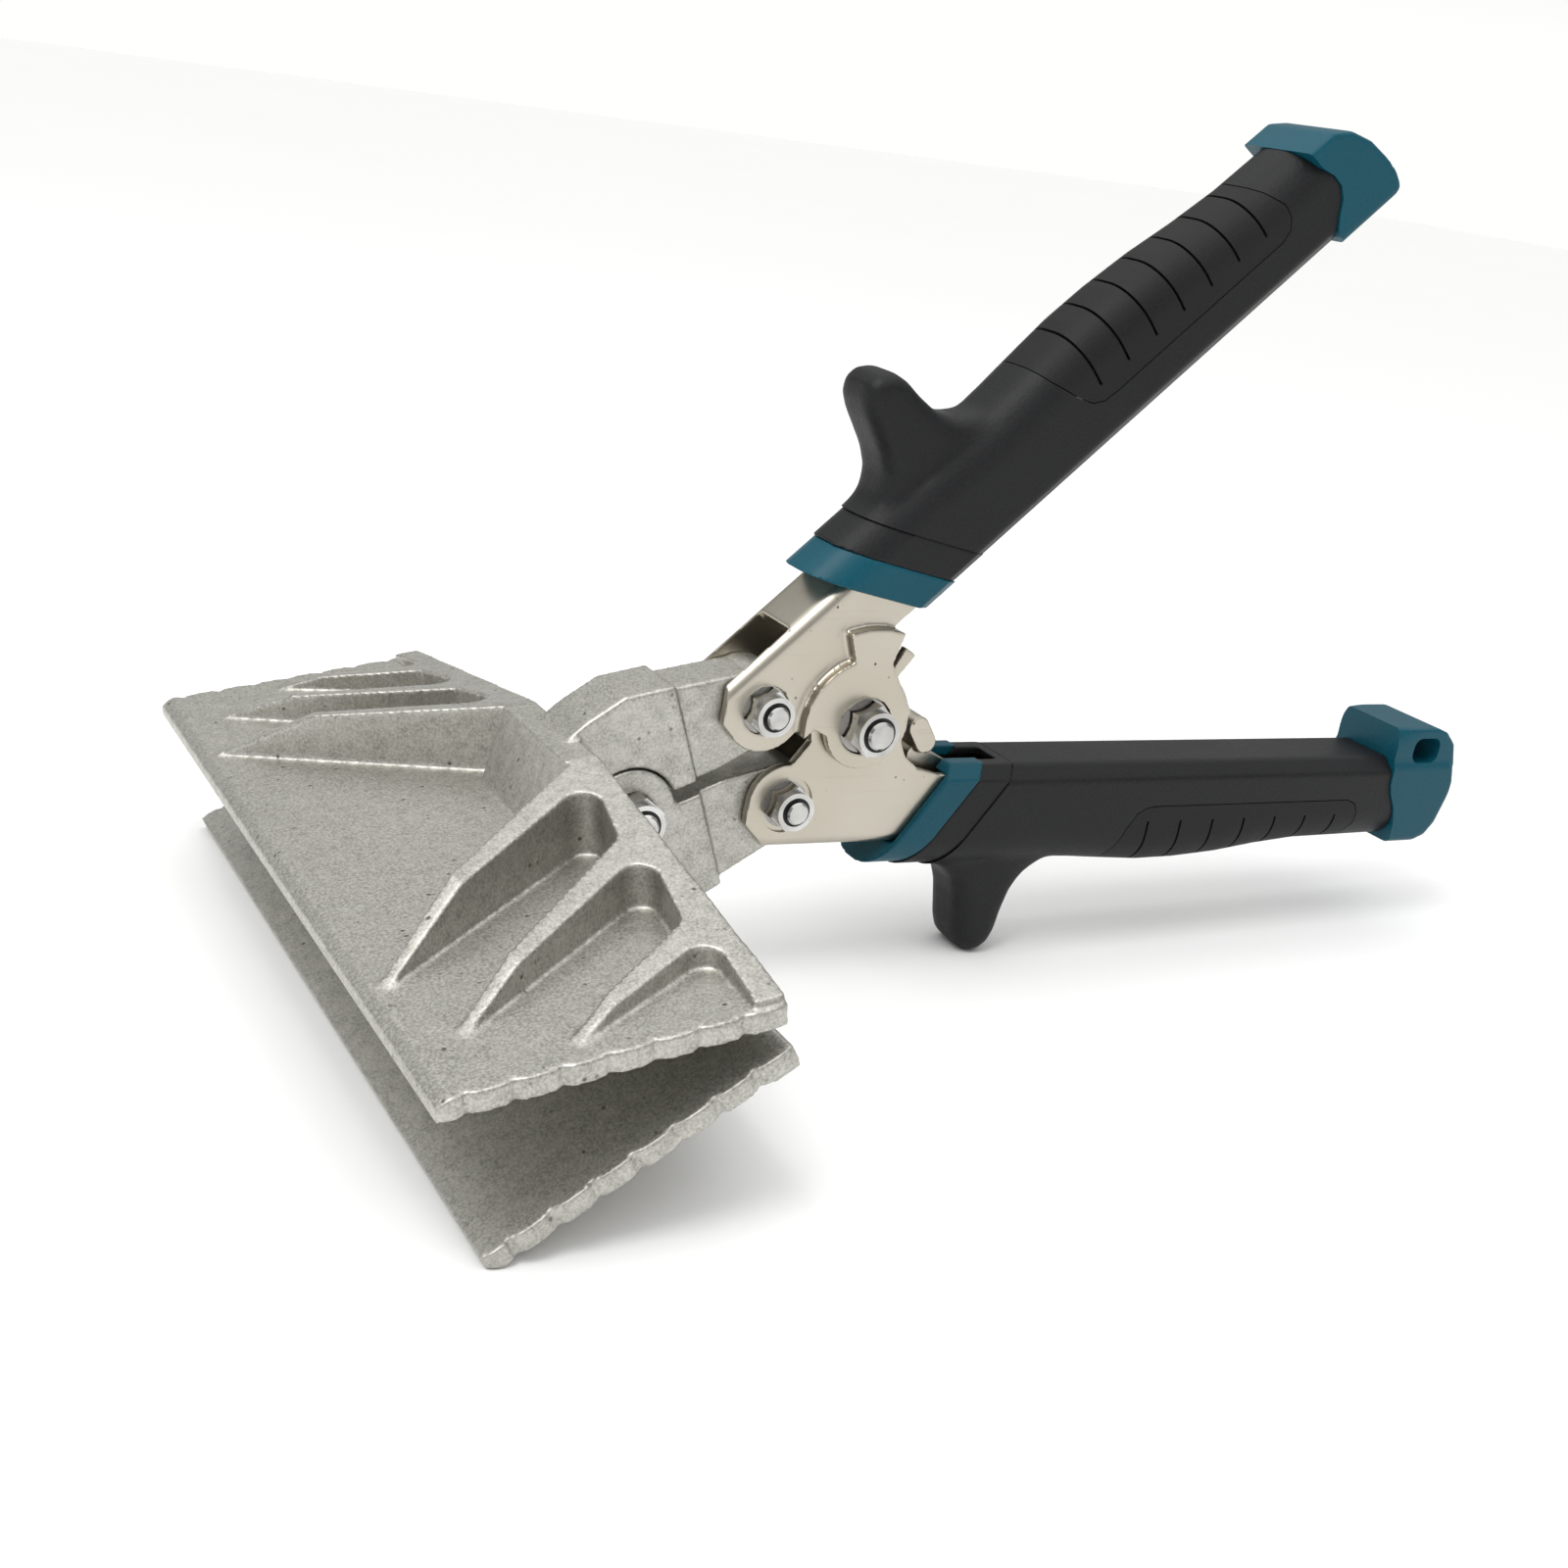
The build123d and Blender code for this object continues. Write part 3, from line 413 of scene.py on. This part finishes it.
# ---------------------------------------------------------------- jaws
def cast_jaw(node, body):
    piece = own_copy(node, node + "_casting")
    skin(piece, 0.38, 3, 0.52)
    return finish(piece, aluminium, "cast_aluminium", body, node)


cast_jaw("upper_jaw", "upper_jaw")
cast_jaw("lower_jaw", "lower_jaw")


# ---------------------------------------------------------------- sheet metal
seat_depth, drill_length = 0.5, 8


def pressed_channel(node, body, *seats):
    """A folded sheet channel, with a shallow seat pressed in both cheeks under each nut and bolt head."""
    piece = own_copy(node, node + "_pressing")
    skin(piece, 0.32, 3, 0.5)
    for fastener, radius, face in seats:
        middle = centre_of(fastener)
        for side in (1, -1):
            clear()
            bpy.ops.mesh.primitive_cylinder_add(
                vertices=96,
                radius=radius * MM,
                depth=drill_length * MM,
                location=(middle.x, side * (face - seat_depth + drill_length / 2) * MM, middle.z),
                rotation=(pi / 2, 0, 0),
            )
            drill = bpy.context.object
            combine(piece, drill, "DIFFERENCE")
    only(piece)
    bpy.ops.object.shade_smooth_by_angle(angle=radians(40))
    return finish(piece, nickel, "nickel_plated_sheet", body, node)


pressed_channel("upper_channel", "upper_handle", ("handle_pivot_nut", 5.0, 6.8), ("upper_pin_nut", 5.8, 8.75))
pressed_channel("lower_channel", "lower_handle", ("lower_pin_nut", 5.0, 6.8))
lever = own_copy("latch_lever", "latch_lever_pressing")
skin(lever, 0.2, 3, 0.5)
finish(lever, nickel, "nickel_plated_sheet", "latch", "latch_lever")


# ---------------------------------------------------------------- handles: sizes in millimetres, along and outward
inner, outer, half = 8.2, 28.4, 8.5            # the grip's flat inner side, its outer side, its half width
guard_half = 5.8
pad_deep = 11.9                                # how far the soft pad wraps in from the outer side
lug_rise = 6.5                                 # hang lug above the grip's inner side
hole_from_end, hole_half, hole_low, hole_high = 9.5, 3.6, 2.0, 7.2
pocket = ((-20, 9.8), (104, 9.8), (104, 22.5), (-20, 22.5))
front_low, front_high = 34.5, 20.5             # the slanted front of the grip, on its inner and outer sides

guard_side = (
    (16.0, 21.0), (16.0, 27.6), (21.5, 27.9), (25.0, 29.0), (27.6, 31.4), (28.9, 34.6), (29.6, 38.2), (30.2, 41.5),
    (31.2, 44.2), (33.2, 45.9), (35.6, 46.0), (38.0, 44.4), (39.2, 41.6), (39.8, 37.8), (40.8, 34.0), (43.2, 30.6),
    (48.0, 27.4), (48.0, 21.0),
)


def back_line(end):
    """Outer side of a grip: hollow behind the guard, full under the palm, narrow at the end."""
    return (
        (8, outer), (38, outer), (45, outer - 0.5), (52, outer - 0.3), (60, outer + 0.3), (69, outer + 0.9),
        (78, outer + 0.8), (88, outer + 0.1), (98, outer - 1.2), (108, outer - 2.1), (end + 10, outer - 2.5),
    )


def handle_blank(end):
    """The whole moulded shape of a grip with its guard, still longer than the grip at both ends."""
    line = back_line(end)
    body = drawn_solid("blank", line + ((end + 10, inner), (8, inner)), half)
    lengthwise = lambda a, b: on_side(a, b, half) and abs(a.x - b.x) > 0.5
    bevel_where(body, lambda a, b: lengthwise(a, b) and min(a.z, b.z) > 20, 7.0, 9)
    bevel_where(body, lambda a, b: lengthwise(a, b) and max(a.z, b.z) < 9, 2.7, 1)
    guard = drawn_solid("guard", guard_side, guard_half)
    bevel_where(guard, lambda a, b: on_side(a, b, guard_half), 2.9, 4)
    combine(body, guard, "UNION")
    skin(body, 0.45, 5)

    def near_root(p):
        return max(0.0, 1 - abs(p.x - 42) / 9) * max(0.0, 1 - abs(p.z - 27.5) / 7) * 2.5

    def near_front(p):
        return max(0.0, 1 - abs(p.x - 24) / 8) * max(0.0, 1 - abs(p.z - 28.5) / 5) * 2.0

    soften_where(body, near_root, 90)
    soften_where(body, near_front, 50)
    soften_where(body, lambda p: 1.0 if p.z > 33 else 0.0, 14)
    return body


def pad_zone(end):
    """What the soft pad takes of the blank, seen from the side."""
    low, last = outer - pad_deep, end - 7
    points = (
        (57.6, 40), (57.9, 30), (59.4, 25.6), (61.8, 20.6), (63.6, 17.9), (65.6, low + 0.25), (68.5, low),
        (last - 3.2, low), (last - 1.1, low + 0.8), (last, low + 2.6), (last + 0.1, low + 5.0), (last - 1.4, 24.8),
        (last - 5.0, 30), (last - 9, 40),
    )
    return drawn_solid("pad_zone", points, 14)


def groove_blades(blank, end):
    """Thin blades that reach just under the surface, for the grooves across the pad."""
    heart = swell(twin(blank, "heart"), -0.85)
    first, last, count = 58 + 8.2, end - 13.0, 7
    blades = []
    for i in range(count):
        u = first + (last - first) * i / (count - 1)
        blade = drawn_solid("blade", ((u, 19.4), (u + 0.5, 19.4), (u + 0.5, 40), (u, 40)), 14)
        blades.append(blade)
    together = join(*blades)
    return combine(together, heart, "DIFFERENCE")


seam = {
    "upper": ((119.4, 40), (119.4, 26.5), (120.6, 22.4), (122.2, 19.6), (122.7, 17.4), (122.0, 15.0), (120.0, 12.6),
              (118.9, 10.9), (118.8, 9.3), (119.6, 6.5), (119.6, -6)),
    "lower": ((131.2, 40), (131.2, 26.0), (130.9, 21.6), (129.8, 18.2), (128.2, 15.6), (127.4, 13.4), (127.2, 6.5),
              (127.2, -6)),
}


def cap_zone(side, gap):
    """Everything beyond the seam between grip and cap, less a gap."""
    line = tuple((u - gap, v) for u, v in seam[side])
    return drawn_solid("cap_zone", line + ((175, -6), (175, 40)), 20)


def cap_blank(side, start, end):
    """An end cap's whole shape, reaching back under the grip, before its seam is cut."""
    wide = half + 0.35
    high = outer - 2.5 + 0.35
    low = inner - 0.35
    if side == "upper":
        outline = (
            (start - 6, low), (start - 6, high), (end - 8.5, high - 0.2), (end - 5.2, high - 2.4),
            (end - 2.4, high - 6.4), (end - 0.7, high - 11.0), (end, high - 14.6), (end - 0.3, low + 1.2),
            (end - 1.5, low),
        )
    else:
        outline = (
            (start - 6, low), (start - 6, high), (end - 6.5, high - 0.1), (end - 3.6, high - 1.2),
            (end - 1.4, high - 4.0),
            (end, high - 8.5), (end, low + 5.0), (end - 1.0, low + 2.2), (end - 3.4, low),
        )
    body = drawn_solid("cap", outline, wide)
    back = lambda a, b: on_side(a, b, wide) and min(a.z, b.z) > 12 and abs(a.x - b.x) > 0.2
    bevel_where(body, back, 5.2, 7)
    foot = lambda a, b: on_side(a, b, wide) and max(a.z, b.z) < low + 0.1 and abs(a.x - b.x) > 0.5
    bevel_where(body, foot, 2.4, 2)
    if side == "lower":
        rise, lug_half = inner - lug_rise, wide - 0.6
        lug = drawn_solid(
            "lug",
            (
                (end - 25.5, inner + 1.5), (end - 25.0, rise + 3.4), (end - 23.6, rise + 1.3), (end - 21.4, rise + 0.1),
                (end - 7.0, rise), (end - 4.2, rise + 0.9), (end - 1.6, rise + 3.4), (end - 0.2, low + 1.5),
                (end - 0.2, low + 6.0),
            ),
            lug_half,
        )
        nose = lambda a, b: on_side(a, b, lug_half) and max(a.x, b.x) < end - 20.5
        bevel_where(lug, nose, 5.0, 5)
        top = lambda a, b: on_side(a, b, lug_half) and max(a.z, b.z) < rise + 2.2
        bevel_where(lug, top, 2.2, 3)
        combine(body, lug, "UNION")
    skin(body, 0.32, 10)
    return body


def make_handle(side, place, grip_end, cap_end):
    """Grip, soft pad and end cap of one handle: grip and pad are cut from the same blank so that their surfaces meet,
    and the cap from a blank of its own along the same seam.
    """
    body = side + "_handle"
    blank = handle_blank(grip_end)
    gap = 0.15
    ahead = ((-20, inner - 20), (front_low + 13.86, inner - 20), (front_high - 13.86, outer + 20), (-20, outer + 20))
    combine(blank, drawn_solid("ahead", ahead, 20), "DIFFERENCE")
    combine(blank, cap_zone(side, gap), "DIFFERENCE")

    pad = twin(blank, side + "_grip_pad_moulding")
    blades = groove_blades(blank, grip_end)
    zone = pad_zone(grip_end)
    combine(pad, zone, "INTERSECT", keep_tool=True)
    combine(pad, blades, "DIFFERENCE")
    combine(blank, swell(zone, gap + 0.1), "DIFFERENCE")
    room = drawn_solid("room", pocket, 6.8)
    combine(blank, room, "DIFFERENCE", keep_tool=True)
    combine(pad, room, "DIFFERENCE")
    blank.name = side + "_grip_moulding"
    finish(put(blank, place), charcoal, "charcoal_plastic", body, side + "_grip")
    finish(put(pad, place), rubber, "charcoal_rubber", body, side + "_grip_pad")

    cap = cap_blank(side, grip_end, cap_end)
    combine(cap, cap_zone(side, 0), "INTERSECT")
    if side == "lower":
        near, far = cap_end - hole_from_end - hole_half, cap_end - hole_from_end + hole_half
        top, bottom = inner - lug_rise + hole_low, inner - lug_rise + hole_high
        corners = ((near, top), (far, top), (far, bottom), (near, bottom))
        hole = drawn_solid("hole", corners, 14)
        bevel_where(hole, lambda a, b: abs(a.y - b.y) > 5, 1.9, 5)
        combine(cap, hole, "DIFFERENCE")
    cap.name = side + "_end_cap_moulding"
    finish(put(cap, place), teal, "teal_plastic", body, side + "_end_cap")


make_handle("upper", upper_place, 118.5, 134.0)
make_handle("lower", lower_place, 127.0, 145.0)


def moulding(node, body, place, material, slot):
    """A collar or ferrule, with its room for the channel cut clean again once its edges are soft."""
    piece = own_copy(node, node + "_moulding")
    skin(piece, 0.25, 4, 0.5)
    piece.data.transform(place.inverted())
    combine(piece, drawn_solid("room", pocket, 6.9), "DIFFERENCE")
    piece.data.transform(place)
    only(piece)
    bpy.ops.object.shade_smooth_by_angle(angle=radians(40))
    return finish(piece, material, slot, body, node)


for handle, place in (("upper", upper_place), ("lower", lower_place)):
    moulding(handle + "_collar", handle + "_handle", place, charcoal, "charcoal_plastic")
    moulding(handle + "_ferrule", handle + "_handle", place, teal, "teal_plastic")


# ---------------------------------------------------------------- fasteners and small steel
by_ending = {"bolt": zinc, "nut": zinc, "insert": nylon, "bush": steel, "spring": steel, "leg": steel, "pin": steel}
for name, node in nodes.items():
    if node.hide_render:
        continue
    node.data.materials.clear()
    node.data.materials.append(next(metal for ending, metal in by_ending.items() if name.endswith(ending)))


# ---------------------------------------------------------------- studio
bpy.ops.object.camera_add(
    location=(-0.199794, -0.276478, 0.146603),
    rotation=(radians(70.532), radians(-7.869), radians(-28.298)),
)
camera = bpy.context.object
camera.data.sensor_width = 36
camera.data.lens = 45.788
camera.data.clip_start = 0.01
camera.data.clip_end = 20
bpy.context.scene.camera = camera
bpy.context.scene.view_settings.view_transform = "Standard"

clear()
bpy.ops.mesh.primitive_plane_add(size=9, location=(0, 0, 0))
floor = bpy.context.object
floor.name = "studio_floor"
pale = Surface("pale_floor", Roughness=0.9)
pale.give("Base Color", pale.mix(pale.noise(3, 2), (0.93, 0.93, 0.93, 1), (0.95, 0.95, 0.95, 1)))
floor.data.materials.append(pale.material)

world = bpy.data.worlds.new("studio")
bpy.context.scene.world = world
world.use_nodes = True
sky = world.node_tree
direction = sky.nodes.new("ShaderNodeTexCoord")
split = sky.nodes.new("ShaderNodeSeparateXYZ")
sky.links.new(direction.outputs["Generated"], split.inputs[0])
tint = sky.nodes.new("ShaderNodeValToRGB")
tint.color_ramp.interpolation = "EASE"
levels = ((0.0, 1.0), (0.06, 1.0), (0.20, 0.34), (0.50, 0.42), (0.72, 1.35), (1.0, 1.5))
while len(tint.color_ramp.elements) < len(levels):
    tint.color_ramp.elements.new(0.5)
for stop, (height, bright) in zip(tint.color_ramp.elements, levels):
    stop.position = height
    stop.color = (bright, bright, bright * 0.99, 1)
sky.links.new(split.outputs["Z"], tint.inputs["Fac"])
sky.links.new(tint.outputs["Color"], sky.nodes["Background"].inputs["Color"])
sky.nodes["Background"].inputs["Strength"].default_value = 1.0


def softbox(name, place, aim, wide, power):
    bpy.ops.object.light_add(type="AREA", location=place)
    lamp = bpy.context.object
    lamp.name = name
    lamp.data.shape = "RECTANGLE"
    lamp.data.size, lamp.data.size_y = wide
    lamp.data.energy = power
    lamp.rotation_euler = (Vector(aim) - Vector(place)).to_track_quat("-Z", "Y").to_euler()


softbox("key", (-0.45, -0.15, 0.8), (0, 0, 0.05), (0.45, 0.45), 3.5)
